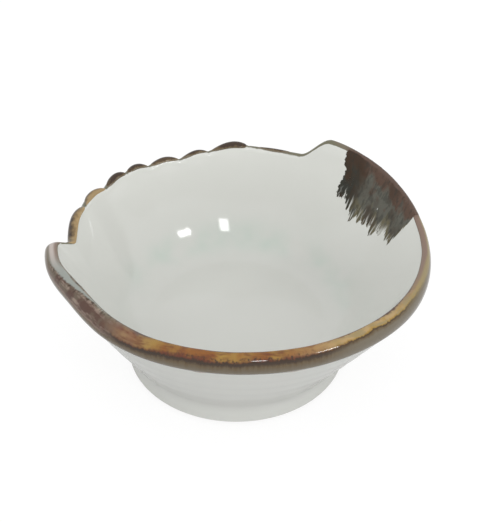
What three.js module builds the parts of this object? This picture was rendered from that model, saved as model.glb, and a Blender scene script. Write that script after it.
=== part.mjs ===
// Free-form stoneware bowl: a sloping wall on a foot ring, a rolled lip, a crimped back edge and its glazes.
// Millimetres, +Z up. The bowl stands on z = 0 and its front faces -Y. Azimuths are degrees from +X.
import * as THREE from 'three';
import { mergeVertices } from 'three/addons/utils/BufferGeometryUtils.js';

// Crest of the rim, an oval from above
const RIM_HALF_WIDTH = 66;
const RIM_HALF_DEPTH = 54.4;
const RIM_HEIGHT = 47.8;

// Places along the rim
const PEAK_AZIMUTH = 54;
const PEAK_LIFT = 12.4;
const DIP_AZIMUTH = 65.5;
const DIP_LIFT = 4.2;
const DIP_INSET = 2.2;
const NOTCH_AZIMUTH = 173;
const NOTCH_DEPTH = 2.5;
const NOTCH_INSET = 5.2;
const TIP_AZIMUTH = 180;
const TIP_LIFT = 2.4;

// Crimped edge: the valleys between its scallops, from the back to the notch
const SCALLOP_VALLEYS = [86.5, 102.5, 114, 126.5, 136, 145.5, 157, NOTCH_AZIMUTH];
const SCALLOP_HEIGHT = 1.3;
const SCALLOP_LEAN = 0.6;
const SCALLOP_SKEW = 0.7;
const SCALLOP_ROUNDNESS = 0.8;

// Hand-formed departures of the rim: azimuth, the crest's inset from the oval and lift above the rim height,
// and how much further out than usual the lip is rolled
const RIM_STATIONS = [
  [0, 0, 1.5, -0.5],
  [18, 0, 6, -1.2],
  [38, 0, 10.6, -1.5],
  [PEAK_AZIMUTH, 0, PEAK_LIFT, -1.5],
  [DIP_AZIMUTH, DIP_INSET, DIP_LIFT, 0],
  [80, 1.2, 4, 0],
  [SCALLOP_VALLEYS[0], 0.9, 4.3, 0],
  [SCALLOP_VALLEYS[1], 1, 2.4, 0],
  [SCALLOP_VALLEYS[2], 1.2, 0.8, 0],
  [SCALLOP_VALLEYS[3], 1.3, 1.2, 0],
  [SCALLOP_VALLEYS[4], 1.5, 2.1, 0],
  [SCALLOP_VALLEYS[5], 1.9, 0.2, 0],
  [SCALLOP_VALLEYS[6], 2.5, 0, 0],
  [NOTCH_AZIMUTH, NOTCH_INSET, -NOTCH_DEPTH, 0],
  [TIP_AZIMUTH, 0, TIP_LIFT, 0.3],
  [186, 0.2, 3, 0.3],
  [203, 3.4, 2.4, 0.9],
  [222, 2, 1, 0.8],
  [240, 1.1, 0, 0.4],
  [270, 0.2, 0, 0],
  [300, -0.2, 0, 0],
  [330, 0, 0, 0],
].map(([azimuth, inset, lift, bulge]) => ({ azimuth, inset, lift, bulge }));

// Section of the clay
const WALL_THICKNESS = 5.2;
const FLOOR_THICKNESS = 6.8;
const FLOOR_FILLET = 10;
const LIP_INNER = 2;
const LIP_BULGE = 2.3;
const LIP_DROP = 7.2;
const LIP_FADE = 14;
const EDGE_WIDTH = 3;

// Foot ring, set a little off the middle of the rim
const FOOT_RADIUS = 38.7;
const FOOT_OFFSET = -1.2;
const FOOT_HEIGHT = 8.3;
const FOOT_WIDTH = 6;
const FOOT_BEVEL = 1;
const FOOT_BARE = 1.6;

// Coats of glaze, each clear of what it lies on
const GLAZE_CLEARANCE = 0.3;
const GLAZE_THICKNESS = 0.6;
const BROWN_INSIDE = 0.5;
const BROWN_START = 0.1;

// Dabs of brown glaze on the thin edge, thinner at their borders and ends
const DAB_THICKNESS = 0.7;
const DAB_INSIDE = 1.4;
const DAB_OUTSIDE = 2.6;
const DAB_BORDER = 0.4;
const DAB_END = 0.2;
const BACK_DAB_THICKNESS = 0.35;
const BACK_DAB_INSIDE = 0.6;

// Brush stroke below the peak: its sides, and how far it reaches down the wall below the lip at each of them
const BRUSH_FROM = 12.2;
const BRUSH_TO = 46.8;
const BRUSH_TAPER = 1.5;
const BRUSH_FRONT_REACH = 10.5;
const BRUSH_PEAK_REACH = 7.5;
const BRUSH_BOW = 5;
const BRUSH_TEETH = 7;
const BRUSH_TOOTH = 3;
const BRUSH_THICKNESS = 0.3;

// Fineness of the facets
const SCALLOP_STEPS = 8;
const NOTCH_STEPS = 4;
const LIP_STEPS = 28;
const PEAK_STEPS = 10;
const DIP_STEPS = 6;
const RIM_FACETS = 6;
const BRUSH_TOOTH_STEPS = 4;
const BRUSH_WALL_STEPS = 3;
const FOOT_SIDES = 48;
const EDGE_DIVISIONS = 60;
const SLOPE_STEP = 0.01;
const WELD = 1e-4;

const { clamp, lerp, smoothstep, euclideanModulo, degToRad } = THREE.MathUtils;

// Stations counted on past a full turn, so that the curve through them closes
function station(index, measure) {
  const count = RIM_STATIONS.length;
  const turns = Math.floor(index / count);
  const row = RIM_STATIONS[euclideanModulo(index, count)];
  return { azimuth: row.azimuth + 360 * turns, value: row[measure] };
}

function slopeAfter(index, measure) {
  const near = station(index, measure);
  const far = station(index + 1, measure);
  return (far.value - near.value) / (far.azimuth - near.azimuth);
}

// Slope of the curve at a station: none at a high or low point, so it never swings past one
function slopeAt(index, measure) {
  const before = slopeAfter(index - 1, measure);
  const after = slopeAfter(index, measure);
  return before * after > 0 ? (2 * before * after) / (before + after) : 0;
}

function alongStations(azimuth, measure) {
  const turn = euclideanModulo(azimuth, 360);
  const next = RIM_STATIONS.findIndex((row) => row.azimuth > turn);
  const index = (next < 0 ? RIM_STATIONS.length : next) - 1;
  const near = station(index, measure);
  const far = station(index + 1, measure);
  const span = far.azimuth - near.azimuth;
  const t = (turn - near.azimuth) / span;
  const bend = t * (1 - t) * span;
  const ease = t * t * (3 - 2 * t);
  const turnIn = bend * (1 - t) * slopeAt(index, measure);
  const turnOut = bend * t * slopeAt(index + 1, measure);
  return lerp(near.value, far.value, ease) + turnIn - turnOut;
}

// Swell of a scallop: 0 in its valleys and outside the crimped edge, 1 on its crest
function scallop(azimuth) {
  const turn = euclideanModulo(azimuth, 360);
  const next = SCALLOP_VALLEYS.findIndex((valley) => valley > turn);
  if (next < 1) return 0;
  const from = SCALLOP_VALLEYS[next - 1];
  const to = SCALLOP_VALLEYS[next];
  const across = ((turn - from) / (to - from)) ** SCALLOP_SKEW;
  return Math.sin(Math.PI * across) ** SCALLOP_ROUNDNESS;
}

// Crest of the edge before it is crimped, as (radius, height)
function crest(azimuth) {
  const angle = degToRad(azimuth);
  const oval = 1 / Math.hypot(Math.cos(angle) / RIM_HALF_WIDTH, Math.sin(angle) / RIM_HALF_DEPTH);
  const radius = oval - alongStations(azimuth, 'inset');
  return new THREE.Vector2(radius, RIM_HEIGHT + alongStations(azimuth, 'lift'));
}

// How far the edge is rolled out: 1 from the tip round the front to the peak, 0 on the thin back edge
function roll(azimuth) {
  const turn = euclideanModulo(azimuth - NOTCH_AZIMUTH, 360);
  const lipEnd = 360 + PEAK_AZIMUTH - NOTCH_AZIMUTH;
  const start = smoothstep(turn, 0, TIP_AZIMUTH - NOTCH_AZIMUTH);
  return start - smoothstep(turn, lipEnd - LIP_FADE / 2, lipEnd + LIP_FADE / 2);
}

// Points of the edge, outwards and up from its crest: inside shoulder, crest, and down the outside
const THIN_EDGE = [
  [-0.45 * EDGE_WIDTH, -0.5 * EDGE_WIDTH],
  [0, 0],
  [0.42 * EDGE_WIDTH, -0.4 * EDGE_WIDTH],
  [0.4 * EDGE_WIDTH, -EDGE_WIDTH],
  [0.15 * EDGE_WIDTH, -0.65 * LIP_DROP],
  [-0.3 * EDGE_WIDTH, -LIP_DROP],
];
const rolledEdge = (bulge) => [
  [-LIP_INNER, -0.7 * LIP_INNER],
  [0, 0],
  [0.68 * bulge, -0.12 * LIP_DROP],
  [bulge, -0.42 * LIP_DROP],
  [0.85 * bulge, -0.78 * LIP_DROP],
  [0.35 * bulge, -LIP_DROP],
];
// How much of a scallop's swell each of those points takes
const CRIMPED = [0.5, 1, 1, 0.5, 0.1, 0];
const EDGE_FACETS = CRIMPED.length;

// Places along the section's outline, counted in spans from the middle of the floor
const SPANS = ['floor', 'fillet', 'inside wall', 'edge', 'outside wall'];
const [FLOOR_END, FILLET_END, WALL_TOP, EDGE_END, WALL_END] = SPANS.map((_, k) => k + 1);
const FILLET_MIDDLE = (FLOOR_END + FILLET_END) / 2;
const EDGE_PLACES = CRIMPED.map((_, k) => WALL_TOP + (k + 1) / EDGE_FACETS);
const [SHOULDER, CREST, OUTER_SHOULDER, ...DOWN_THE_OUTSIDE] = EDGE_PLACES;

// Outline of the clay at one azimuth as (radius, height): floor, fillet, inside wall, edge, outside wall
function outline(azimuth) {
  const top = crest(azimuth);
  const rolled = roll(azimuth);
  const swell = scallop(azimuth);
  const lip = rolledEdge(LIP_BULGE + alongStations(azimuth, 'bulge'));
  const edge = CRIMPED.map((_, k) => new THREE.Vector2(
    top.x + lerp(THIN_EDGE[k][0], lip[k][0], rolled),
    top.y + lerp(THIN_EDGE[k][1], lip[k][1], rolled),
  ));
  const shoulder = edge[0];
  const under = edge[EDGE_FACETS - 1];
  const foot = FOOT_RADIUS + FOOT_OFFSET * Math.cos(degToRad(azimuth));
  const floorTop = FOOT_HEIGHT + FLOOR_THICKNESS;
  const wallAtFloor = lerp(foot, under.x, FLOOR_THICKNESS / (under.y - FOOT_HEIGHT));
  const corner = new THREE.Vector2(wallAtFloor - WALL_THICKNESS, floorTop);
  const wallTop = shoulder.clone().lerp(corner, (shoulder.y - under.y) / (shoulder.y - floorTop));
  const upWall = shoulder.clone().sub(corner).normalize();
  const filletEnd = corner.clone().addScaledVector(upWall, FLOOR_FILLET);
  const crimp = new THREE.Vector2(SCALLOP_LEAN, SCALLOP_HEIGHT).multiplyScalar(swell);
  const path = new THREE.Path();
  path.moveTo(0, floorTop);
  path.lineTo(corner.x - FLOOR_FILLET, floorTop);
  path.quadraticCurveTo(corner.x, corner.y, filletEnd.x, filletEnd.y);
  path.lineTo(wallTop.x, wallTop.y);
  path.splineThru(edge.map((point, k) => point.clone().addScaledVector(crimp, CRIMPED[k])));
  path.lineTo(foot, FOOT_HEIGHT);
  return path;
}

function onOutline(path, place) {
  const within = clamp(place, 0, path.curves.length);
  const span = Math.min(Math.floor(within), path.curves.length - 1);
  return path.curves[span].getPoint(within - span);
}

// Point on the clay, or lifted off it by a coat, at an azimuth and a place along the outline
function onClay(path, azimuth, place, lift) {
  const along = onOutline(path, place + SLOPE_STEP).sub(onOutline(path, place - SLOPE_STEP)).normalize();
  const flat = onOutline(path, place).addScaledVector(new THREE.Vector2(-along.y, along.x), lift);
  const angle = degToRad(azimuth);
  return new THREE.Vector3(flat.x * Math.cos(angle), flat.x * Math.sin(angle), flat.y);
}

// Share of a straight span that a length takes up
function share(path, span, length) {
  return length / path.curves[span].getLength();
}

// Place on the edge at a length outwards from its crest
function fromCrest(path, length) {
  const edge = path.curves[WALL_TOP];
  edge.arcLengthDivisions = EDGE_DIVISIONS;
  const crestLength = edge.getLengths()[Math.round(EDGE_DIVISIONS * (CREST - WALL_TOP))];
  return WALL_TOP + edge.getUtoTmapping(0, crestLength + length);
}

// Closed solid through a row of like loops of points, capped at both ends unless the row closes.
// The facets of the underside, past the first points of each loop, are split as those of the face are.
function loft(loops, closed, facePoints = loops[0].length / 2) {
  const size = loops[0].length;
  const rows = loops.length;
  const faces = [];
  for (let i = 0; i < (closed ? rows : rows - 1); i += 1) {
    const here = i * size;
    const there = ((i + 1) % rows) * size;
    for (let j = 0; j < size; j += 1) {
      const k = (j + 1) % size;
      const [near, far] = j < facePoints ? [j, k] : [k, j];
      faces.push([here + j, here + k, there + far], [here + near, there + k, there + j]);
    }
  }
  const end = (rows - 1) * size;
  for (let j = 0; !closed && j < size / 2 - 1; j += 1) {
    const k = size - 1 - j;
    faces.push([j, k - 1, j + 1], [j, k, k - 1]);
    faces.push([end + j, end + j + 1, end + k - 1], [end + j, end + k - 1, end + k]);
  }
  const points = loops.flat().flatMap((point) => point.toArray());
  const geometry = new THREE.BufferGeometry();
  geometry.setAttribute('position', new THREE.Float32BufferAttribute(points, 3));
  geometry.setIndex(faces.flat());
  const welded = mergeVertices(geometry, WELD);
  const corners = welded.getIndex().array;
  const kept = faces.map((_, f) => [corners[3 * f], corners[3 * f + 1], corners[3 * f + 2]]);
  welded.setIndex(kept.filter(([a, b, c]) => a !== b && b !== c && c !== a).flat());
  welded.computeVertexNormals();
  return welded;
}

// Loop of a coat at one azimuth: out along its face, back along its underside
function coatLoop(path, azimuth, places, under, over) {
  const face = places.map((place) => onClay(path, azimuth, place, over));
  const back = places.map((place) => onClay(path, azimuth, place, under));
  return [...face, ...back.reverse()];
}

// Azimuths of the facets, finer where the edge is crimped
function stretch(from, to, steps) {
  return Array.from({ length: steps }, (_, k) => lerp(from, to, k / steps));
}
const AZIMUTHS = [
  ...SCALLOP_VALLEYS.slice(1).flatMap((to, k) => stretch(SCALLOP_VALLEYS[k], to, SCALLOP_STEPS)),
  ...stretch(NOTCH_AZIMUTH, TIP_AZIMUTH, NOTCH_STEPS),
  ...stretch(TIP_AZIMUTH, 360 + BRUSH_FROM, LIP_STEPS),
  ...stretch(360 + BRUSH_FROM, 360 + BRUSH_TO, BRUSH_TEETH),
  ...stretch(360 + BRUSH_TO, 360 + DIP_AZIMUTH, PEAK_STEPS),
  ...stretch(360 + DIP_AZIMUTH, 360 + SCALLOP_VALLEYS[0], DIP_STEPS),
];
const OUTLINES = AZIMUTHS.map(outline);

// Heights of the coats above the clay
const COAT_UNDER = GLAZE_CLEARANCE;
const COAT_OVER = COAT_UNDER + GLAZE_THICKNESS;
const DAB_UNDER = COAT_OVER + GLAZE_CLEARANCE;

// Stretch of the edge that the brown coat takes: all of a rolled lip, nothing of a thin edge
function brownStretch(path, azimuth) {
  const rolled = roll(azimuth);
  return {
    from: lerp(OUTER_SHOULDER, fromCrest(path, -BROWN_INSIDE), rolled),
    to: lerp(OUTER_SHOULDER, EDGE_END, rolled),
  };
}

// Share of the edge left bare on each side of a border between two coats
function border(path) {
  return share(path, WALL_TOP, GLAZE_CLEARANCE / 2);
}

// Places where the inside coat goes over the edge, up to the brown coat
function insideEdge(path, azimuth) {
  const end = brownStretch(path, azimuth).from - border(path);
  return [WALL_TOP, SHOULDER, (SHOULDER + end) / 2, end];
}

function clayBody() {
  const places = [0, FLOOR_END, FILLET_MIDDLE, FILLET_END, WALL_TOP, ...EDGE_PLACES, WALL_END];
  const loops = AZIMUTHS.map((azimuth, i) => [
    ...places.map((place) => onClay(OUTLINES[i], azimuth, place, 0)),
    new THREE.Vector3(0, 0, FOOT_HEIGHT),
  ]);
  return loft(loops, true, places.length);
}

function insideCoat() {
  const loops = AZIMUTHS.map((azimuth, i) => {
    const path = OUTLINES[i];
    const places = [0, FLOOR_END, FILLET_MIDDLE, FILLET_END, ...insideEdge(path, azimuth)];
    return coatLoop(path, azimuth, places, COAT_UNDER, COAT_OVER);
  });
  return loft(loops, true);
}

function outsideCoat() {
  const loops = AZIMUTHS.map((azimuth, i) => {
    const path = OUTLINES[i];
    const start = brownStretch(path, azimuth).to + border(path);
    const end = WALL_END - share(path, EDGE_END, 2 * COAT_OVER);
    const edge = DOWN_THE_OUTSIDE.map((place) => Math.max(start, place));
    return coatLoop(path, azimuth, [start, ...edge, end], COAT_UNDER, COAT_OVER);
  });
  return loft(loops, true);
}

function rimCoat() {
  const steps = Array.from({ length: RIM_FACETS + 1 }, (_, k) => k / RIM_FACETS);
  const rolled = AZIMUTHS.map((_, i) => i).filter((i) => roll(AZIMUTHS[i]) > BROWN_START);
  const loops = rolled.map((i) => {
    const path = OUTLINES[i];
    const { from, to } = brownStretch(path, AZIMUTHS[i]);
    const places = steps.map((t) => lerp(from + border(path), to - border(path), t));
    return coatLoop(path, AZIMUTHS[i], places, COAT_UNDER, COAT_OVER);
  });
  return loft(loops, false);
}

// Dab of glaze over the crest of the edge between two azimuths, thickest in its middle
function dab(from, to, steps, inside, thickness) {
  const loops = stretch(from, to, steps).slice(1).map((azimuth, i, all) => {
    const path = outline(azimuth);
    const swell = Math.max(Math.sin((Math.PI * i) / (all.length - 1)), DAB_END);
    const start = fromCrest(path, -inside * swell);
    const end = fromCrest(path, DAB_OUTSIDE * swell);
    const places = [start, (start + CREST) / 2, CREST, (CREST + end) / 2, end];
    const overs = [DAB_BORDER, 1, 1, 1, DAB_BORDER].map((full) => DAB_UNDER + thickness * swell * full);
    const face = places.map((place, k) => onClay(path, azimuth, place, overs[k]));
    const back = places.map((place) => onClay(path, azimuth, place, DAB_UNDER));
    return [...face, ...back.reverse()];
  });
  return loft(loops, false);
}

// Stroke of a wide brush down the inside wall, its bristle ends drawn as teeth
function brushStroke() {
  const columns = BRUSH_TOOTH_STEPS * BRUSH_TEETH;
  const loops = Array.from({ length: columns + 1 }, (_, i) => {
    const across = i / columns;
    const tooth = 2 * Math.abs(((across * BRUSH_TEETH) % 1) - 0.5);
    const bow = BRUSH_BOW * Math.sin(Math.PI * across);
    const reach = lerp(BRUSH_FRONT_REACH, BRUSH_PEAK_REACH, across) + bow - BRUSH_TOOTH * tooth;
    const azimuthAt = (down) => lerp(BRUSH_FROM + BRUSH_TAPER * down, BRUSH_TO - BRUSH_TAPER * down, across);
    const wall = stretch(1, 0, BRUSH_WALL_STEPS).map((down) => {
      const azimuth = azimuthAt(down);
      const path = outline(azimuth);
      return { path, azimuth, place: WALL_TOP - share(path, FILLET_END, down * reach) };
    });
    const azimuth = azimuthAt(0);
    const path = outline(azimuth);
    const edge = insideEdge(path, azimuth).map((place) => ({ path, azimuth, place }));
    const spots = [...wall, ...edge];
    const lifted = (lift) => spots.map((spot) => onClay(spot.path, spot.azimuth, spot.place, lift));
    return [...lifted(DAB_UNDER + BRUSH_THICKNESS), ...lifted(DAB_UNDER).reverse()];
  });
  return loft(loops, false);
}

// Turned pieces of the foot, from a closed profile of (radius, height)
function turned(profile) {
  const points = [...profile, profile[0]].map(([radius, height]) => new THREE.Vector2(radius, height));
  return new THREE.LatheGeometry(points, FOOT_SIDES).rotateX(Math.PI / 2);
}

function footRing() {
  const inner = FOOT_RADIUS - FOOT_WIDTH;
  const top = FOOT_HEIGHT - GLAZE_CLEARANCE;
  return turned([
    [inner + FOOT_BEVEL, 0],
    [FOOT_RADIUS - FOOT_BEVEL, 0],
    [FOOT_RADIUS, FOOT_BEVEL],
    [FOOT_RADIUS, top],
    [inner, top],
    [inner, FOOT_BEVEL],
  ]);
}

function footCoat() {
  const under = FOOT_RADIUS + COAT_UNDER;
  const over = FOOT_RADIUS + COAT_OVER;
  const top = FOOT_HEIGHT - GLAZE_CLEARANCE;
  return turned([
    [under, FOOT_BARE],
    [over, FOOT_BARE + GLAZE_THICKNESS],
    [over, top - GLAZE_THICKNESS],
    [under, top],
  ]);
}

function undersideCoat() {
  const reach = FOOT_RADIUS - FOOT_WIDTH - COAT_UNDER;
  const top = FOOT_HEIGHT - COAT_UNDER;
  return turned([
    [0, top - GLAZE_THICKNESS],
    [reach - GLAZE_THICKNESS, top - GLAZE_THICKNESS],
    [reach - GLAZE_THICKNESS, FOOT_BARE],
    [reach, FOOT_BARE],
    [reach, top],
    [0, top],
  ]);
}

// Finishes
const stoneware = () => new THREE.MeshStandardMaterial({ color: '#b9aa98', roughness: 0.85, metalness: 0 });
const paleGlaze = () => new THREE.MeshStandardMaterial({ color: '#cfd0cb', roughness: 0.12, metalness: 0 });
const ironGlaze = () => new THREE.MeshStandardMaterial({ color: '#7a5a35', roughness: 0.15, metalness: 0 });
const brushGlaze = () => new THREE.MeshStandardMaterial({ color: '#4d463c', roughness: 0.25, metalness: 0 });

const bowl = new THREE.Group();
const foot = new THREE.Group();
foot.position.x = FOOT_OFFSET;
bowl.add(foot);

function add(group, name, geometry, material) {
  const mesh = new THREE.Mesh(geometry, material);
  mesh.name = name;
  group.add(mesh);
}

add(bowl, 'stoneware_body', clayBody(), stoneware());
add(foot, 'foot_ring', footRing(), stoneware());
add(bowl, 'inside_glaze', insideCoat(), paleGlaze());
add(bowl, 'outside_glaze', outsideCoat(), paleGlaze());
add(foot, 'foot_glaze', footCoat(), paleGlaze());
add(foot, 'underside_glaze', undersideCoat(), paleGlaze());
add(bowl, 'rim_glaze', rimCoat(), ironGlaze());
SCALLOP_VALLEYS.slice(1).forEach((to, k) => {
  const geometry = dab(SCALLOP_VALLEYS[k], to, SCALLOP_STEPS, DAB_INSIDE, DAB_THICKNESS);
  add(bowl, `scallop_glaze_${k + 1}`, geometry, ironGlaze());
});
const backDab = dab(DIP_AZIMUTH, SCALLOP_VALLEYS[0], DIP_STEPS, BACK_DAB_INSIDE, BACK_DAB_THICKNESS);
add(bowl, 'back_edge_glaze', backDab, ironGlaze());
add(bowl, 'brush_mark', brushStroke(), brushGlaze());

// Stand the bowl with the middle of its outline over the origin
const middle = new THREE.Box3().setFromObject(bowl).getCenter(new THREE.Vector3());
bowl.position.set(-middle.x, -middle.y, 0);

export default bowl;
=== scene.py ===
import math

import bmesh
import bpy
import numpy as np
from bpy.props import FloatProperty, FloatVectorProperty, PointerProperty
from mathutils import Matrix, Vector


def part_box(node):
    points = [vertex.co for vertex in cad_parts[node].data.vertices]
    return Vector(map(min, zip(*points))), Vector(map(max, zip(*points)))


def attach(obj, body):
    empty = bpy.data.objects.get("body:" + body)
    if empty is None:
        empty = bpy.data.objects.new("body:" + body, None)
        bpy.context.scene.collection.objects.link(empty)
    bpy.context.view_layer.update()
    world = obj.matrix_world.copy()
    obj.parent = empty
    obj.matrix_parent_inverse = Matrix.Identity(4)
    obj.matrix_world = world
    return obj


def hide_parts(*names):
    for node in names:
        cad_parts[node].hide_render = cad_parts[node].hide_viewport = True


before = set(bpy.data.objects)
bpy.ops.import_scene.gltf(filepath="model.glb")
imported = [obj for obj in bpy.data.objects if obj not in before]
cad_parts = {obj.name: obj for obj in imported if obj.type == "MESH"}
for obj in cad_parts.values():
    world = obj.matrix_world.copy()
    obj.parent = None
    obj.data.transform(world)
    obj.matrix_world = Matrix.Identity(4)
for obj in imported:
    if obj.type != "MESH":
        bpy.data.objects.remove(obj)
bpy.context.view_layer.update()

bl_info = {
    "name": "Glazed free-form bowl",
    "version": (1, 0, 0),
    "blender": (4, 5, 0),
    "location": "3D View > Sidebar > Bowl",
    "description": "Hand-formed stoneware bowl with its coats of glaze, dressed around its solids",
    "category": "Add Mesh",
}

MM = 0.001
FOOT_LOW, FOOT_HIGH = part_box("foot_ring")
BODY_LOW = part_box("stoneware_body")[0]

# The foot stands a little to the left of the rim's middle
FOOT_OFFSET = -1.2 * MM
FOOT_MIDDLE = (FOOT_LOW + FOOT_HIGH) / 2
RIM_MIDDLE = Vector((FOOT_MIDDLE.x - FOOT_OFFSET, FOOT_MIDDLE.y, 0))

# Places round the rim, in degrees from +X
BRUSH_RIGHT = 12.2
BRUSH_LEFT = 46.8
PEAK = 54.0
DIP = 65.5
NOTCH = 173.0
TIP = 180.0
VALLEYS = np.array([86.5, 102.5, 114, 126.5, 136, 145.5, 157, NOTCH])
# Degrees about the peak over which the rolled lip runs out
LIP_FADE = 14.0
# A scallop's crest lies nearer to its right valley, and is a little narrower than half a wave
SCALLOP_SKEW = 0.85
SCALLOP_NARROWING = 1.2

# Hand-formed rim: degrees from +X, then in millimetres the crest's inset, its lift and the lip's extra bulge
RIM_STATIONS = np.array([
    (0, 0.1, 1.5, -1.0),
    (18, 0.3, 6, -1.5),
    (38, 0.2, 10.6, -1.6),
    (PEAK, 0, 12.4, -1.5),
    (DIP, 2.2, 4.2, 0),
    (80, 1.2, 4, 0),
    (86.5, 0.9, 4.3, 0),
    (102.5, 1, 2.4, 0),
    (114, 1.2, 0.8, 0),
    (126.5, 1.3, 1.2, 0),
    (136, 1.5, 2.1, 0),
    (145.5, 1.9, 0.2, 0),
    (157, 2.5, 0, 0),
    (NOTCH, 5.2, -2.5, 0),
    (TIP, 0, 2.4, 0.3),
    (186, 0.2, 3, 0.3),
    (203, 3.4, 2.4, 1.2),
    (222, 2, 1, 1.1),
    (240, 1.1, 0, 0.5),
    (270, 0.2, 0, 0),
    (300, -0.2, 0, 0),
    (330, 0, 0, 0),
])
# Degrees to each side over which the wall below evens out the rim's dents, and readings taken over them
EASE_REACH = 32
EASE_READINGS = 33
# How fast the dents die away down the wall
DENT_FADE = 3
# Unevenness from the hand, in waves round the bowl: share, count and start of each
UNEVEN = ((0.5, 11, 1), (0.3, 23, 2.3), (0.2, 41, 4))

# Spans of the clay's outline, from the middle of the floor out, up, over the edge and down to the foot
FLOOR_END, FILLET_END, WALL_TOP, EDGE_END, WALL_END = range(1, 6)
EDGE_POINTS = 6
CREST = WALL_TOP + 2 / EDGE_POINTS
OUTER_SHOULDER = WALL_TOP + 3 / EDGE_POINTS
# How much of a scallop's swell each point of the edge takes
CRIMPED = np.array([0.5, 1, 1, 0.5, 0.1, 0])
# Points of the rolled lip from its crest: shares of its bulge outwards and of its drop
LIP_OUT = np.array([0, 0, 0.68, 1, 0.85, 0.35])
LIP_DOWN = np.array([0, 0, 0.12, 0.42, 0.78, 1])
# Inside shoulder of the lip from its crest, outwards and up, as shares of how far the lip runs inside
LIP_SHOULDER = np.array([-0.5, -0.8])
# Direction in which the outside of the wall swells, outwards and up
BELLY_OUT = np.array([0.75, -0.66])
# Throwing rings wind up round the wall: radians of their wave from the lip to the foot
RING_RADIANS = 34
# How far the rings wander in radians, and how often round the wall
RING_WANDER = 0.4
RING_WAVES = 3
# Step in spans over which the outline's direction is taken
SLOPE_STEP = 0.01
# Readings of the outline's length up the wall and over the edge
LENGTH_READINGS = 120

# Azimuth of the pool of pale glaze on the floor, in degrees
POOL_AZIMUTH = 75
# Cosines of the turn away from there between which the pool fades in
POOL_FADE = (-0.2, 0.7)
# Place and width of the pool in spans, and share of it on the other side
POOL_PLACE = 1.85
POOL_WIDTH = 0.3
POOL_LEAST = 0.1
# How far inside the crest the thin grey glaze along the edge starts, in millimetres at degrees from +X
GREY_EDGE = (
    (46, -3), (46.5, 0.6), (58, 0.6), (64, 0.3), (86, 0.1), (157, 0.1), (170, 0.2), (178, 0.5), (180, -3),
)
GREY_FADE = 0.3 * MM
# Spans down the outside of the thin edge over which the glaze is thin
THIN_OUTSIDE = 0.12
# Spans down the outside wall at which the close rows below the lip's glaze end
BELOW_LIP = 0.02
# Coat of the foot: thickness at its lower end, height over which it thins out, and share of it with wide rows
FOOT_COAT_END = 0.05 * MM
FOOT_COAT_TAPER = 0.3 * MM
FOOT_EVEN = 0.8
# Coat of the underside: its curve into the foot ring, and the ends of its face and back above the bevel
UNDER_BEND = 3 * MM
UNDER_FACE_END = 0.2 * MM
UNDER_BACK_END = 0.1 * MM

# How far the inside border of the lip's glaze wanders
WANDER_INSIDE = 0.25 * MM
# How far its outside border wanders in spans, and degrees by which that wandering is turned
WANDER_OUTSIDE = 0.03
WANDER_TURN = 40
# Least roll of the edge that takes the lip's glaze
ROLL_LEAST = 0.002
# Share of the lip over which its glaze swells from each border
SWELL_BORDER = 0.12
# Degrees over which the swell dies away before the brush stroke
SWELL_CLEAR = 6

# Dabs from right to left: thickness and reach inside in mm, where thickest, how fast it thins, share of tan
SCALLOP_DABS = (
    (0.55, 0.7, 0.36, 1.2, 0),
    (0.15, 0.3, 0.47, 1, 0),
    (0.4, 0.4, 0.45, 1, 0.1),
    (0.4, 0.4, 0.45, 1, 0),
    (0.45, 0.5, 0.4, 1.1, 0),
    (0.5, 0.3, 0.4, 1, 0.7),
    (0.4, 0.7, 0.5, 0.6, 0.9),
)
BACK_DAB = (0.2, 0.2, 0.5, 1.2, 0)
# Share of the width between two valleys by which a dab stays clear of each
SCALLOP_MARGIN = 0.04
BACK_MARGIN = 0.17
# The last dab runs down into the notch and a little past it
LAST_DAB_END = NOTCH + 3
# Share of a dab's reach that is left at its ends, and how flat its top is across
DAB_LEAST = 0.02
DAB_FLATNESS = 3
# How far the thinnest dab or stroke stands above the pale coat, and how deep its back is sunk into that coat
IRON_PROUD = 0.01 * MM
IRON_SUNK = 0.2 * MM

# Clumps of bristles: share of the stroke's width from the right, and reach below the crest in millimetres
BRISTLE_ENDS = (
    (0, 3), (0.02, 8), (0.045, 13), (0.065, 18), (0.1, 17), (0.15, 18), (0.19, 16.5), (0.25, 19),
    (0.3, 19.5), (0.36, 23.5), (0.4, 19.5), (0.43, 21), (0.47, 20), (0.51, 22.5), (0.55, 20.5),
    (0.585, 23), (0.63, 21), (0.7, 25), (0.75, 20.5), (0.8, 21.5), (0.86, 18), (0.93, 18.5), (1, 19),
)
# Stray ends within the clumps: their count, and the depth in millimetres of the gaps between them
STRAY_ENDS = ((26, 1.6), (70, 1.2))
# Least share of that depth, least width of a stray end, and how pointed it is
STRAY_LEAST = 0.2
STRAY_WIDTH = 1e-6
STRAY_POINT = 1.3
# Least reach of a bristle below the crest in millimetres
REACH_LEAST = 1
BRISTLE_SEED = 11
# Left border of the stroke: depth below the crest in millimetres, and share of the stroke's width
LEFT_BORDER = ((0, 1), (5.2, 0.99), (6.8, 0.95), (10.3, 0.955), (14.2, 0.98), (19, 0.97))
# Waves that fray that border: share of the stroke's width, millimetres down to each radian, and start
BORDER_FRAY = ((0.006, 0.35, 1), (0.004, 0.16, 0))
# Share of the stroke's width from which bristles follow that border
SPREAD_FROM = 0.75
# Length over which the stroke thins out at its end, and how deep its start is sunk into the lip's glaze
BRISTLE_TAPER = 1.5 * MM
OVERLAP_SUNK = 0.03 * MM

# Rows of faces in each span of the clay and in each stretch of a coat, round a bend and along the rest
CLAY_ROWS = (8, 8, 12, 24, 10)
INSIDE_ROWS = (12, 12, 18, 14)
OUTSIDE_ROWS = (12, 16)
BEND_ROWS = 6
FOOT_ROWS = 8
LIP_ROWS = 36
DAB_LONG, DAB_ACROSS = 44, 16
STROKE_ACROSS, STROKE_DOWN = 300, 48
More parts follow.
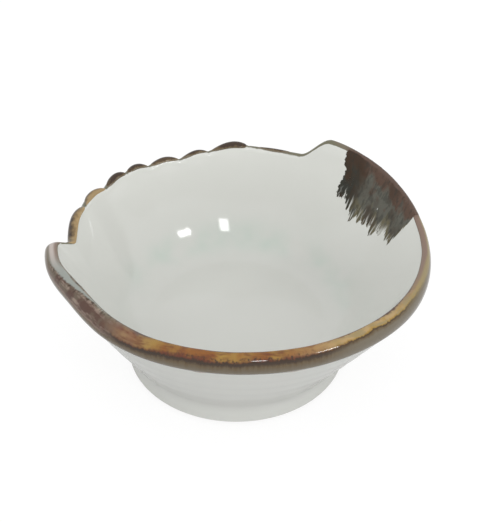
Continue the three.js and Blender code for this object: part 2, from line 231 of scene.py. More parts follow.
# Points nearer to each other than this are one, and edges sharper than this are shaded as edges
WELD = 1e-7
SHARP = math.radians(50)
# Inputs of a node that mixes colours, for its share and its two colours, and its colour output
SHARE, UNDER, OVER = 0, 6, 7
MIXED = 2

# Softboxes: degrees to the right of the front and above the table, width and height in metres, radiance
SOFTBOXES = {
    "softbox_front": (6.8, 22.6, 0.11, 0.13, 15),
    "softbox_right": (41.5, 24.6, 0.18, 0.06, 26),
}
# Height on the bowl that they point at
LAMP_AIM = 30 * MM
# Share of the way up the sky to which the cards round the bowl reach
CARD_TOP = 0.5
# Half the table's width, and the nearest and furthest that the camera sees, in metres
TABLE_HALF = 6.0
CAMERA_NEAR, CAMERA_FAR = 0.01, 50
# Light that the white paper gives off to the camera, so that its shadow is faint
PAPER_GLOW = 0.86


def linear(hex_colour):
    """A colour written as sRGB hex, as the linear RGB that shaders take."""
    srgb = [int(hex_colour[k:k + 2], 16) / 255 for k in (1, 3, 5)]
    return [c / 12.92 if c <= 0.04045 else ((c + 0.055) / 1.055) ** 2.4 for c in srgb]


def length(name, millimetres, description):
    return FloatProperty(name=name, description=description, default=millimetres * MM, min=0,
                         subtype="DISTANCE", unit="LENGTH", precision=5)


def colour(name, hex_colour, description):
    return FloatVectorProperty(name=name, description=description, default=linear(hex_colour), size=3,
                               min=0, max=1, subtype="COLOR")


class BowlSizes(bpy.types.PropertyGroup):
    """Sizes of the clay and of the coats on it."""
    rim_half_width: length("Rim half width", 66, "Half the oval of the rim's crest, left to right")
    rim_half_depth: length("Rim half depth", 54.4, "Half the oval of the rim's crest, front to back")
    rim_height: length("Rim height", 47.8, "Height of the crest at the front")
    scallop_height: length("Scallop height", 1.3, "Rise of each pinched scallop above its valleys")
    scallop_lean: length("Scallop lean", 0.6, "How far each scallop leans out")
    wall: length("Wall", 5.2, "Thickness of the wall, measured level")
    hollow: length("Hollow", 1.3, "How far the inside of the wall is hollowed between the floor and the lip")
    belly: length("Belly", 0.4, "How far the outside of the wall swells between the lip and the foot")
    throwing: length("Throwing rings", 0.07, "Height of the rings that fingers left on the outside")
    floor: length("Floor", 6.8, "Thickness of the floor")
    fillet: length("Floor fillet", 8, "Length of the curve from the floor to the wall")
    lip_inner: length("Lip shoulder", 2, "How far the rolled lip runs inside its crest")
    lip_bulge: length("Lip bulge", 2.3, "How far the rolled lip stands out from its crest")
    lip_drop: length("Lip drop", 7.2, "Height of the rolled lip")
    edge: length("Thin edge", 3, "Width of the unrolled edge at the back")
    foot_radius: length("Foot radius", (FOOT_HIGH.x - FOOT_LOW.x) / 2 / MM, "Outside radius of the foot ring")
    foot_height: length("Foot height", BODY_LOW.z / MM, "Height of the foot ring")
    foot_width: length("Foot width", 6, "Width of the foot ring")
    foot_bevel: length("Foot bevel", 1, "Bevel of the standing face")
    foot_bend: length("Foot bend", 3, "Length of the curve from the wall to the foot")
    coat: length("Coat", 0.9, "Height of the pale glaze above the clay")
    brown_inside: length("Brown inside", 0.5, "How far the brown glaze runs inside the lip's crest")
    brown_swell: length("Brown swell", 0.15, "How far the brown glaze stands above the pale one")
    dab_outside: length("Dab outside", 2.6, "Reach of a dab outside the crest")
    brush: length("Brush mark", 0.06, "Thickness of the brushed glaze")
    brush_overlap: length("Brush overlap", 1.6, "How far the brushed glaze runs over the lip's brown glaze")


class GlazeColours(bpy.types.PropertyGroup):
    """Colours of the clay and glazes."""
    clay: colour("Clay", "#b9aa98", "Bare fired stoneware")
    grog: colour("Grog", "#8d7c69", "Darker grit in the clay")
    pale: colour("Pale glaze", "#cccdc8", "Pale glaze of usual thickness")
    pooled: colour("Pooled glaze", "#bcc8bf", "Pale glaze where it pooled")
    thin: colour("Thin glaze", "#66634f", "Pale glaze where it ran thin over an edge")
    speck: colour("Iron speck", "#9a958a", "Speck of iron in the pale glaze")
    amber: colour("Amber", "#7f4c10", "Iron glaze where it broke thin over the lip")
    gold: colour("Gold", "#967731", "Light iron glaze at the front")
    tan: colour("Tan", "#a68b5e", "Lightest iron glaze, at the right")
    khaki: colour("Khaki", "#8a7c58", "Iron glaze at the far right")
    # Painted highlight: a pale pinkish band at the tip of the lip that stands for light glinting there
    dove: colour("Dove grey", "#b3a8a1", "Iron glaze at the tip, almost run off")
    rust: colour("Rust", "#5a260c", "Reddest iron glaze")
    umber: colour("Umber", "#311e08", "Iron glaze where it gathered below the shoulder")
    # On the side of the lip, olive and drab are partly painted reflection: greyed for the surroundings that
    # the side faces
    olive: colour("Olive", "#5a482c", "Iron glaze on the side of the lip")
    mauve: colour("Mauve", "#7a6558", "Iron glaze along the crest")
    drab: colour("Drab", "#6a6150", "Iron glaze at its lower border and over the peak")
    blush: colour("Blush", "#b39f90", "Iron glaze that ran almost off, pinkish")
    russet: colour("Russet", "#4c3124", "Iron glaze at the left of the lip")
    celadon: colour("Celadon", "#8c908a", "Pale break along the crest at the left")
    brush_rust: colour("Brush rust", "#513d31", "Brushed glaze along the rim")
    brush_brown: colour("Brush brown", "#342313", "Brushed glaze at the left of the stroke")
    brush_black: colour("Brush black", "#24251f", "Brushed glaze where it gathered at the left edge")
    brush_grey: colour("Brush grey", "#56554d", "Brushed glaze in the middle of the stroke")
    brush_olive: colour("Brush olive", "#605a45", "Brushed glaze at the ends of the bristles")


class StudioSettings(bpy.types.PropertyGroup):
    """Camera and light."""
    distance: length("Distance", 838, "From the camera to the point that it looks at")
    aim_height: length("Aim height", 43, "Height of the point that the camera looks at")
    aim_side: length("Aim side", 0.3, "How far that point lies to the right of the rim's middle")
    elevation: FloatProperty(name="Elevation", description="Camera's angle above the table",
                             default=math.radians(41.08), subtype="ANGLE", unit="ROTATION")
    lens: FloatProperty(name="Lens", description="Focal length in millimetres on a 36 mm sensor",
                        default=161.2, min=1)
    sky: FloatProperty(name="Sky", description="Strength of the light from all round", default=1.1, min=0)
    low_lean: FloatVectorProperty(name="Low lean", default=(0.1, -0.9, 0), subtype="XYZ",
                                  description="How much stronger that light is low from +X and +Y")
    softboxes: FloatProperty(name="Softboxes", description="Share of the softboxes' usual radiance",
                             default=1, min=0)
    lamp_distance: length("Lamp distance", 1000, "From the softboxes to the middle of the bowl")


def mix(low, high, share):
    return low + (high - low) * share


def smooth(value, low=0.0, high=1.0):
    t = np.clip((value - low) / (high - low), 0, 1)
    return t * t * (3 - 2 * t)


def curve(start, bend, end, t):
    """Points on the curve that leaves its start and reaches its end on lines through its bend."""
    return mix(mix(start, bend, t), mix(bend, end, t), t)


def pairs(first, second):
    """Points in a plane from their two measures, either of which may be the same for all."""
    return np.stack(np.broadcast_arrays(first, second), -1)


def unit(vectors):
    return vectors / np.linalg.norm(vectors, axis=-1, keepdims=True)


def run_along(points):
    """Distances along rows of points, from the first point of the row to each."""
    steps = np.linalg.norm(np.diff(points, axis=-2), axis=-1)
    return np.concatenate([0 * steps[..., :1], np.cumsum(steps, -1)], -1)


def wander(azimuth, size):
    """Hand-made unevenness round the bowl, at most about the given size."""
    angle = np.radians(azimuth)
    return size * sum(share * np.sin(count * angle + start) for share, count, start in UNEVEN)


def along_stations(azimuth, column):
    """A measure of the rim at each azimuth, on a closed curve through the stations that never overshoots."""
    places, values = RIM_STATIONS[:, 0], RIM_STATIONS[:, column] * MM
    steps = np.diff(np.append(places, places[0] + 360))
    after = np.diff(np.append(values, values[0])) / steps
    before = np.roll(after, 1)
    level = before * after <= 0
    slopes = np.where(level, 0, 2 * before * after / np.where(level, 1, before + after))
    turn = np.mod(azimuth, 360)
    near = np.searchsorted(places, turn, side="right") - 1
    far = (near + 1) % len(places)
    t = (turn - places[near]) / steps[near]
    bend = t * (1 - t) * steps[near]
    return mix(values[near], values[far], smooth(t)) + bend * ((1 - t) * slopes[near] - t * slopes[far])


def inset(azimuth):
    return along_stations(azimuth, 1)


def lift(azimuth):
    return along_stations(azimuth, 2)


def bulge(azimuth):
    return along_stations(azimuth, 3)


def past_notch(azimuth):
    """Degrees round the rim from the notch: over the tip, the front and the right side to the peak."""
    return np.mod(azimuth - NOTCH, 360)


def roll(azimuth):
    """How far the edge is rolled out: 1 from the tip to the peak, 0 on the thin edge at the back."""
    turn = past_notch(azimuth)
    lip_end = past_notch(PEAK)
    return smooth(turn, 0, TIP - NOTCH) - smooth(turn, lip_end - LIP_FADE / 2, lip_end + LIP_FADE / 2)


def eased(measure, azimuth):
    """A measure of the rim averaged to each side, which leaves out its local dents."""
    steps = np.linspace(-1, 1, EASE_READINGS)
    weights = 1 + np.cos(np.pi * steps)
    taken = [weight * measure(azimuth + EASE_REACH * step) for weight, step in zip(weights, steps)]
    return sum(taken) / weights.sum()


def scallop(azimuth):
    """Swell of the pinched scallops: 0 in the valleys, 1 on the crests."""
    turn = np.mod(azimuth, 360)
    after = np.searchsorted(VALLEYS, turn, side="right")
    k = np.clip(after, 1, len(VALLEYS) - 1)
    across = np.clip((turn - VALLEYS[k - 1]) / (VALLEYS[k] - VALLEYS[k - 1]), 0, 1) ** SCALLOP_SKEW
    return np.where(after == k, np.clip(np.sin(np.pi * across), 0, 1) ** SCALLOP_NARROWING, 0)


class Section:
    """Outline of the clay at a row of azimuths, as (radius, height) at places counted in spans.
    Floor and walls follow the rim with its dents eased out, and take up the dents towards the edge."""

    def __init__(self, sizes, azimuth):
        self.azimuth = np.asarray(azimuth, float)
        self.sizes = sizes
        angle = np.radians(self.azimuth)
        self.outward = pairs(np.cos(angle), np.sin(angle))
        self.oval = 1 / np.hypot(np.cos(angle) / sizes.rim_half_width, np.sin(angle) / sizes.rim_half_depth)
        self.foot = sizes.foot_radius + FOOT_OFFSET * np.cos(angle)
        self.wall_end = pairs(self.foot, sizes.foot_height)
        self.rings = RING_WANDER * np.sin(RING_WAVES * angle) - angle
        broad = self.edge(lambda measure: eased(measure, self.azimuth))
        self.shape_inside(broad)
        self.broad_top = self.wall_top(broad)
        self.broad_under = broad[:, -1]
        edge = self.edge(lambda measure: measure(self.azimuth))
        crimp = scallop(self.azimuth)[:, None] * np.array([sizes.scallop_lean, sizes.scallop_height])
        crimped = edge + crimp[:, None] * CRIMPED[:, None]
        self.knots = np.concatenate([self.wall_top(edge)[:, None], crimped], 1)

    def edge(self, taken):
        """The edge's points from its inside shoulder over its crest and down, thin or rolled out."""
        crest = pairs(self.oval - taken(inset), self.sizes.rim_height + taken(lift))
        lip = self.rolled_lip(taken(bulge))
        return crest[:, None] + mix(self.thin_edge(), lip, taken(roll)[:, None, None])

    def thin_edge(self):
        """Points of the unrolled edge from its crest, by the width of that edge and the drop of the lip."""
        width, drop = self.sizes.edge, self.sizes.lip_drop
        return np.array([
            (-0.25 * width, -0.55 * width),
            (0, 0),
            (0.42 * width, -0.4 * width),
            (0.4 * width, -width),
            (0.15 * width, -0.65 * drop),
            (-0.3 * width, -drop),
        ])

    def rolled_lip(self, more):
        """Points of the rolled lip from its crest, with how much more than usual it is rolled out."""
        out = (self.sizes.lip_bulge + more)[:, None] * LIP_OUT
        points = pairs(out, -self.sizes.lip_drop * LIP_DOWN)
        points[:, 0] = LIP_SHOULDER * self.sizes.lip_inner
        return points

    def shape_inside(self, edge):
        """The floor's middle, its corner, and the points of its fillet and of the hollow wall above."""
        sizes = self.sizes
        floor_top = sizes.foot_height + sizes.floor
        under = edge[:, -1]
        wall_at_floor = mix(self.foot, under[:, 0], sizes.floor / (under[:, 1] - sizes.foot_height))
        self.middle = pairs(np.zeros(len(self.azimuth)), floor_top)
        self.corner = pairs(wall_at_floor - sizes.wall, floor_top)
        rise = unit(edge[:, 0] - self.corner)
        into_wall = pairs(rise[:, 1], -rise[:, 0])
        # A curve comes halfway to its bend, so the bend lies twice as deep as the hollow
        self.wall_bend = mix(edge[:, 0], self.corner, 0.5) + 2 * sizes.hollow * into_wall
        up = unit(self.wall_bend - self.corner)
        self.fillet = [self.corner - (sizes.fillet, 0), self.corner, self.corner + up * sizes.fillet]

    def wall_top(self, edge):
        """Where the inside wall ends below the edge's shoulder, level with the edge's outside end."""
        shoulder, under = edge[:, 0], edge[:, -1]
        share = (shoulder[:, 1] - under[:, 1]) / (shoulder[:, 1] - self.wall_bend[:, 1])
        return mix(shoulder, self.wall_bend, share[:, None])

    def spline(self, t):
        """Catmull-Rom curve through the edge's points."""
        last = self.knots.shape[1] - 1
        k = np.minimum((t * last).astype(int), last - 1)
        w = (t * last - k)[..., None]
        rows = np.arange(len(self.azimuth))[:, None]
        a, b, c, d = (self.knots[rows, np.clip(k + step, 0, last)] for step in (-1, 0, 1, 2))
        start, end = (c - a) / 2, (d - b) / 2
        return b + w * (start + w * (3 * (c - b) - 2 * start - end + w * (2 * (b - c) + start + end)))

    def flat(self, places):
        """Points (radius, height) of the clay."""
        places = np.clip(np.broadcast_to(places, (len(self.azimuth), np.shape(places)[-1])), 0, WALL_END)
        span = np.minimum(places.astype(int), EDGE_END)
        t = places - span
        w = t[..., None]
        start, bend, end = (point[:, None] for point in self.fillet)
        top, under = self.broad_top[:, None], self.broad_under[:, None]
        dent = (self.knots[:, :1] - top) * w ** DENT_FADE
        under_dent = (self.knots[:, -1:] - under) * (1 - w) ** DENT_FADE
        ring = np.sin(self.rings[:, None, None] + RING_RADIANS * w)
        swell = self.sizes.belly + self.sizes.throwing * ring
        belly = swell * 4 * w * (1 - w) * BELLY_OUT
        spans = [
            mix(self.middle[:, None], start, w),
            curve(start, bend, end, w),
            curve(end, self.wall_bend[:, None], top, w) + dent,
            self.spline(t),
            mix(under, self.wall_end[:, None], w) + under_dent + belly,
        ]
        return np.select([span[..., None] == k for k in range(WALL_END)], spans)

    def lifted(self, places, height):
        """Points (radius, height) at a height above the clay."""
        places = np.asarray(places)
        along = unit(self.flat(places + SLOPE_STEP) - self.flat(places - SLOPE_STEP))
        normal = pairs(-along[..., 1], along[..., 0])
        return self.flat(places) + normal * np.broadcast_to(height, normal.shape[:2])[..., None]

    def stand(self, flat):
        """Points in the frame, from points (radius, height)."""
        level = flat[..., :1] * self.outward[:, None] + np.array(RIM_MIDDLE.xy)
        return np.concatenate([level, flat[..., 1:]], -1)

    def above(self, places, height):
        """Points in the frame at a height above the clay."""
        return self.stand(self.lifted(places, height))

    def runs(self):
        """Places on the wall and the edge, and their distances outwards from the crest at each azimuth."""
        places = np.sort(np.append(np.linspace(FILLET_END, EDGE_END, LENGTH_READINGS), CREST))
        run = run_along(self.flat(places))
        return places, run - run[:, places == CREST]

    def from_crest(self, distance):
        """Place on the wall or the edge at a distance outwards from the crest, for each azimuth."""
        places, run = self.runs()
        wanted = np.broadcast_to(distance, len(run))
        return np.array([np.interp(d, r, places) for d, r in zip(wanted, run)])

    def to_crest(self, wanted):
        """Distances outwards from the crest of rows of places."""
        places, run = self.runs()
        return np.array([np.interp(row, places, r) for row, r in zip(wanted, run)])

    def brown_borders(self):
        """Places where the brown coat starts and ends: all of a rolled lip, nothing of a thin edge."""
        rolled = roll(self.azimuth)
        inner = self.from_crest(-self.sizes.brown_inside + wander(self.azimuth, WANDER_INSIDE))
        outer = EDGE_END + wander(self.azimuth + WANDER_TURN, WANDER_OUTSIDE)
        return mix(OUTER_SHOULDER, inner, rolled), mix(OUTER_SHOULDER, outer, rolled)


def stretch(start, end, steps):
    return np.linspace(start, end, steps, endpoint=False)


# Azimuths of the rows of faces, so that rows fall on the valleys, the notch, the tip and the stroke's borders
ROUND = np.concatenate([
    *(stretch(right, left, 24) for right, left in zip(VALLEYS, VALLEYS[1:])),
    stretch(NOTCH, TIP, 16),
    stretch(TIP, 360 + BRUSH_RIGHT, 264),
    stretch(360 + BRUSH_RIGHT, 360 + BRUSH_LEFT, 60),
    stretch(360 + BRUSH_LEFT, 360 + DIP, 40),
    stretch(360 + DIP, 360 + VALLEYS[0], 36),
])


def steps_between(start, end, steps):
    """Rows of evenly spaced places from one place to another, at each azimuth."""
    return mix(np.asarray(start)[..., None], np.asarray(end)[..., None], np.linspace(0, 1, steps + 1))


def steps_through(borders, counts):
    """Rows of places through several borders, evenly spaced between each border and the next."""
    rows = [steps_between(*row) for row in zip(borders, borders[1:], counts)]
    return np.concatenate([rows[0], *(row[:, 1:] for row in rows[1:])], 1)


def quads(grid):
    """Faces between the rows and columns of a grid of points."""
    corners = [grid[:-1, :-1], grid[:-1, 1:], grid[1:, 1:], grid[1:, :-1]]
    return np.stack(corners, -1).reshape(-1, 4)


def skin(face, back, closed, pole=False):
    """Vertices and faces of a closed skin between two grids of points.
    A closed grid runs all round, and one with a pole starts from a single point."""
    rows, columns = face.shape[:2]
    count = rows * columns
    grid = np.arange(count).reshape(rows, columns)
    if closed:
        grid = np.vstack([grid, grid[:1]])
    faces = [quads(grid), quads(grid)[:, ::-1] + count]
    borders = [grid[::-1, -1]] if pole else [grid[:, 0], grid[::-1, -1]]
    if not closed:
        borders += [grid[0, ::-1], grid[-1]]
    for border in borders:
        faces.append(np.stack([border[:-1], border[1:], border[1:] + count, border[:-1] + count], -1))
    return np.concatenate([face.reshape(-1, 3), back.reshape(-1, 3)]), np.concatenate(faces)


def add_piece(name, made, material, nodes, measures=None):
    """A piece of the bowl from its vertices and faces, with measures of its face that its glaze follows."""
    points, faces = made
    mesh = bpy.data.meshes.new(name)
    mesh.from_pydata(points.tolist(), [], faces.tolist())
    for key, values in (measures or {}).items():
        layer = mesh.attributes.new(key, "FLOAT", "POINT")
        both = np.concatenate([values.ravel(), values.ravel()])
        layer.data.foreach_set("value", both.astype(np.float32))
    mesh.materials.append(material)
    piece = bpy.data.objects.new(name, mesh)
    bpy.context.scene.collection.objects.link(piece)
    weld(mesh)
    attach(piece, "root")
    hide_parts(*nodes)
    if not mesh.polygons:
        raise RuntimeError(f"{name} has no faces")
    return piece


def weld(mesh):
    """Joins the points that fall together, as at the middle of the floor, and shades the skin smooth."""
    work = bmesh.new()
    work.from_mesh(mesh)
    bmesh.ops.remove_doubles(work, verts=work.verts, dist=WELD)
    work.to_mesh(mesh)
    work.free()
    mesh.polygons.foreach_set("use_smooth", [True] * len(mesh.polygons))
    mesh.set_sharp_from_angle(angle=SHARP)


def add_node(tree, kind, inputs=None, output=0, stops=(), **settings):
    """Adds a node with its settings, fills or links its inputs, sets its ramp, and gives an output."""
    node = tree.nodes.new("ShaderNode" + kind)
    for key, value in settings.items():
        setattr(node, key, value)
    for key, value in (inputs or {}).items():
        socket = node.inputs[key]
        if isinstance(value, bpy.types.NodeSocket):
            tree.links.new(value, socket)
        else:
            socket.default_value = (*value, 1) if socket.type == "RGBA" else value
    for k, (place, tint) in enumerate(stops):
        ramp = node.color_ramp.elements
        stop = ramp[k] if k < 2 else ramp.new(place)
        stop.position = place
        stop.color = (*tint, 1)
    return node.outputs[output] if node.outputs else None


def banded(tints, *bands):
    """Stops of a colour ramp from its bands: the name of a colour, and the places where it is pure."""
    return [(place, getattr(tints, name)) for name, *places in bands for place in places]


def new_finish(name):
    """An empty material and its node tree."""
    material = bpy.data.materials.new(name)
    material.use_nodes = True
    material.node_tree.nodes.clear()
    return material, material.node_tree


def per(millimetres):
    """Scale of a pattern whose features have this size."""
    return 1 / (millimetres * MM)


def pale_glaze(tints):
    """Feldspar glaze, dipped and fired: glossy glass over pale clay, greener where it pooled thick,
    greyer where it ran thin over an edge, with a rare speck of iron."""
    material, tree = new_finish("feldspar_glaze_dipped")
    place = add_node(tree, "TexCoord", output="Object")
    pooled, thin = (add_node(tree, "Attribute", output="Fac", attribute_name=name)
                    for name in ("pooled", "thin"))
    cloud, fray, peel = (add_node(tree, "TexNoise", {"Vector": place, "Scale": per(size), "Detail": 2.0})
                         for size in (16, 1.5, 5))
    speck = add_node(tree, "TexVoronoi", {"Vector": place, "Scale": per(26)}, "Distance")
    frayed = add_node(tree, "Math", {0: fray, 1: 0.4, 2: thin}, operation="MULTIPLY_ADD")
    # Shares: what each follows, where it starts and where it is full, and its most
    shares = {}
    for name, source, low, high, most in (
            ("cloudy", cloud, 0.3, 0.7, 1),
            ("speck", speck, 0.03, 0.014, 0.7),
            ("thin", frayed, 0.6, 1, 1)):
        steps = {"Value": source, "From Min": low, "From Max": high, "To Max": most}
        shares[name] = add_node(tree, "MapRange", steps, interpolation_type="SMOOTHSTEP")
    shares["pooled"] = add_node(tree, "Math", {0: shares["cloudy"], 1: pooled}, operation="MULTIPLY")
    tint = tints.pale
    for name in ("pooled", "speck", "thin"):
        layers = {SHARE: shares[name], UNDER: tint, OVER: getattr(tints, name)}
        tint = add_node(tree, "Mix", layers, MIXED, data_type="RGBA")
    bump = add_node(tree, "Bump", {"Height": peel, "Strength": 0.05, "Distance": 0.1 * MM})
    gloss = {"Base Color": tint, "Roughness": 0.07, "IOR": 1.5, "Normal": bump}
    glass = add_node(tree, "BsdfPrincipled", gloss)
    add_node(tree, "OutputMaterial", {"Surface": glass})
    return material


def lip_glaze(tints):
    """Iron glaze, poured over the lip and fired: amber where it broke thin on the rounded top, dark drops
    where it gathered at the shoulder, and olive where it hung thick on the side, greyed there as painted
    reflection of the surroundings that the side faces, with a painted highlight in pale pink at the tip."""
    material, tree = new_finish("iron_glaze_poured")
    turn, across, along = (add_node(tree, "Attribute", output="Fac", attribute_name=name)
                           for name in ("turn", "across", "along"))
    # The lip is 9 mm across: patterns laid out over less are drawn out down it, those over more along it
    noise = {}
    for name, width, size in (
            ("run", 2, 1.3), ("patch", 9, 9), ("grain", 40, 5), ("fine", 9, 1), ("flow", 9, 5)):
        down = add_node(tree, "Math", {0: across, 1: width * MM}, operation="MULTIPLY")
        place = add_node(tree, "CombineXYZ", {"X": along, "Y": down})
        noise[name] = add_node(tree, "TexNoise", {"Vector": place, "Scale": per(size), "Detail": 3.0})
    # The bands of colour waver, and run further down the lip at the left of the front than at the right
    level = across
    for source, low, high, least, most in (
            (noise["run"], 0, 1, -0.04, 0.04),
            (noise["flow"], 0, 1, -0.06, 0.06),
            (noise["fine"], 0, 1, -0.04, 0.04),
            (turn, 60, 80, -0.05, 0),
            (turn, 105, 145, 0, 0.08)):
        steps = {"Value": source, "From Min": low, "From Max": high, "To Min": least, "To Max": most}
        level = add_node(tree, "Math", {0: level, 1: add_node(tree, "MapRange", steps)}, operation="ADD")
    # A pale strip along the crest narrows from the tip to the front
    steps = {"Value": turn, "From Min": 10, "From Max": 46, "To Min": 0.3, "To Max": 0}
    strip = add_node(tree, "MapRange", steps)
    beyond = add_node(tree, "Math", {0: level, 1: strip}, operation="SUBTRACT")
    # Shares: what each follows, where it starts and where it is full, and its most
    shares = {}
    for name, source, low, high, most in (
            ("top", level, 0.42, 0.3, 1),
            ("below crest", across, 0.05, 0.1, 1),
            ("in strip", across, 0.06, 0.1, 1),
            ("bright", noise["patch"], 0.4, 0.65, 0.85),
            ("red", noise["grain"], 0.42, 0.7, 0.75),
            ("shoulder", level, 0.22, 0.34, 1),
            ("above side", level, 0.5, 0.4, 1),
            ("drops", noise["fine"], 0.48, 0.62, 0.9),
            ("in front", turn, 64, 84, 1),
            ("side", level, 0.45, 0.6, 1),
            ("run", noise["run"], 0.4, 0.7, 0.3),
            ("front left", turn, 70, 54, 0.5),
            ("right", turn, 108, 135, 0.85),
            ("left", turn, 56, 44, 1),
            ("over strip", beyond, 0.03, -0.03, 1),
            ("near strip", beyond, 0.16, 0.04, 1),
            ("far left", turn, 22, 10, 1),
            ("far front", turn, 135, 115, 1),
            ("cloud", noise["flow"], 0.42, 0.6, 0.5),
            ("vein", noise["grain"], 0.5, 0.7, 0.4),
            ("inner", level, 0.46, 0.4, 1),
            ("right side", turn, 122, 142, 1),
            ("far right", turn, 150, 180, 1),
            ("right top", level, 0.37, 0.33, 1),
            ("right inner", level, 0.16, 0.22, 1),
            ("streak", noise["grain"], 0.42, 0.58, 0.8),
            ("pool", noise["flow"], 0.44, 0.6, 0.7),
            ("brushed", turn, 197, 202, 1),
            ("peak", turn, 231, 236, 1)):
        steps = {"Value": source, "From Min": low, "From Max": high, "To Max": most}
        shares[name] = add_node(tree, "MapRange", steps, interpolation_type="SMOOTHSTEP")
    # Shares where several of those meet
    for name, first, *others in (
            ("amber", "top", "below crest"),
            ("gold", "amber", "bright"),
            ("rust", "amber", "red", "far front"),
            ("dull", "front left", "amber"),
            ("tan", "amber", "right"),
            ("front drops", "drops", "shoulder", "above side", "in front", "far front"),
            ("streaked", "streak", "right side", "right top", "right inner"),
            ("golden", "pool", "right side", "right top", "right inner"),
            ("runs", "side", "run"),
            ("strip", "over strip", "left", "in strip"),
            ("spots", "near strip", "left", "drops"),
            ("cloudy", "left", "inner", "cloud"),
            ("veined", "left", "inner", "vein")):
        shares[name] = shares[first]
        for other in others:
            shares[name] = add_node(tree, "Math", {0: shares[name], 1: shares[other]}, operation="MULTIPLY")
    # Colours from the inside border of the lip's glaze to the outside one. The olive and drab towards the
    #     # outside border are the glaze's own darker colour on the side of the lip, greyed there as painted
    #     # reflection of the surroundings that this side faces
    ramps = {}
    for name, source, *bands in (
            ("front", level, ("russet", 0, 0.05), ("amber", 0.1, 0.26), ("rust", 0.36),
             ("umber", 0.42, 0.47), ("olive", 0.56), ("drab", 0.8, 0.96), ("blush", 0.985, 1)),
            ("left", level, ("drab", 0, 0.08), ("russet", 0.14, 0.42), ("mauve", 0.47),
             ("olive", 0.52, 1)),
            ("right side", level, ("russet", 0, 0.16), ("tan", 0.21, 0.3), ("gold", 0.35),
             ("umber", 0.39), ("olive", 0.43), ("drab", 0.52, 1)),
            # At the tip, the pale pinkish band between the mauve and the drab is painted highlight
            ("tip", across, ("drab", 0), ("mauve", 0.11), ("dove", 0.17, 0.24), ("drab", 0.3),
             ("olive", 0.4, 1)),
            ("far right", across, ("russet", 0), ("mauve", 0.04, 0.14), ("khaki", 0.2, 0.3),
             ("drab", 0.38, 1)),
            ("brushed", across, ("brush_rust", 0, 0.22), ("olive", 0.3), ("drab", 0.4, 1))):
        ramps[name] = add_node(tree, "ValToRGB", {"Fac": source}, stops=banded(tints, *bands))
    tint = ramps["front"]
    for name, over in (
            ("gold", tints.gold),
            ("dull", tints.mauve),
            ("tan", tints.tan),
            ("rust", tints.rust),
            ("front drops", tints.umber),
            ("right side", ramps["right side"]),
            ("golden", tints.gold),
            ("streaked", tints.khaki),
            ("runs", tints.drab),
            ("left", ramps["left"]),
            ("cloudy", tints.drab),
            ("veined", tints.blush),
            ("spots", tints.umber),
            ("strip", tints.celadon),
            ("far left", ramps["tip"]),
            ("far right", ramps["far right"]),
            ("brushed", ramps["brushed"]),
            ("peak", tints.drab)):
        layers = {SHARE: shares[name], UNDER: tint, OVER: over}
        tint = add_node(tree, "Mix", layers, MIXED, data_type="RGBA")
    rough = add_node(tree, "MapRange", {"Value": noise["fine"], "To Min": 0.03, "To Max": 0.08})
    bump = add_node(tree, "Bump", {"Height": noise["flow"], "Strength": 0.08, "Distance": 0.1 * MM})
    gloss = {"Base Color": tint, "Roughness": rough, "IOR": 1.52, "Normal": bump}
    glass = add_node(tree, "BsdfPrincipled", gloss)
    add_node(tree, "OutputMaterial", {"Surface": glass})
    return material


def dab_glaze(tints):
    """Iron glaze, dabbed on with a brush: dark where the dab is thick, greyed where it thins out at its
    ends, and breaking to tan on its inside flank."""
    material, tree = new_finish("iron_glaze_dabbed")
    place = add_node(tree, "TexCoord", output="Object")
    swell, across, warm = (add_node(tree, "Attribute", output="Fac", attribute_name=name)
                           for name in ("swell", "across", "warm"))
    mottle = add_node(tree, "TexNoise", {"Vector": place, "Scale": per(2), "Detail": 3.0})
    uneven = add_node(tree, "MapRange", {"Value": mottle, "To Min": -0.6, "To Max": 0.6})
    depth = add_node(tree, "Math", {0: swell, 1: uneven}, operation="ADD")
    depth = add_node(tree, "Math", {0: warm, 1: -0.35, 2: depth}, operation="MULTIPLY_ADD")
    ragged = add_node(tree, "Math", {0: uneven, 1: 0.3, 2: across}, operation="MULTIPLY_ADD")
    flank = add_node(tree, "MapRange", {"Value": ragged, "From Min": 0.55, "From Max": 0.1},
                     interpolation_type="SMOOTHSTEP")
    broken = add_node(tree, "Math", {0: flank, 1: warm}, operation="MULTIPLY")
    bands = banded(tints, ("drab", 0, 0.3), ("olive", 0.5), ("umber", 0.7, 1))
    tint = add_node(tree, "ValToRGB", {"Fac": depth}, stops=bands)
    layers = {SHARE: broken, UNDER: tint, OVER: tints.tan}
    tint = add_node(tree, "Mix", layers, MIXED, data_type="RGBA")
    glass = add_node(tree, "BsdfPrincipled", {"Base Color": tint, "Roughness": 0.18, "IOR": 1.52})
    add_node(tree, "OutputMaterial", {"Surface": glass})
    return material


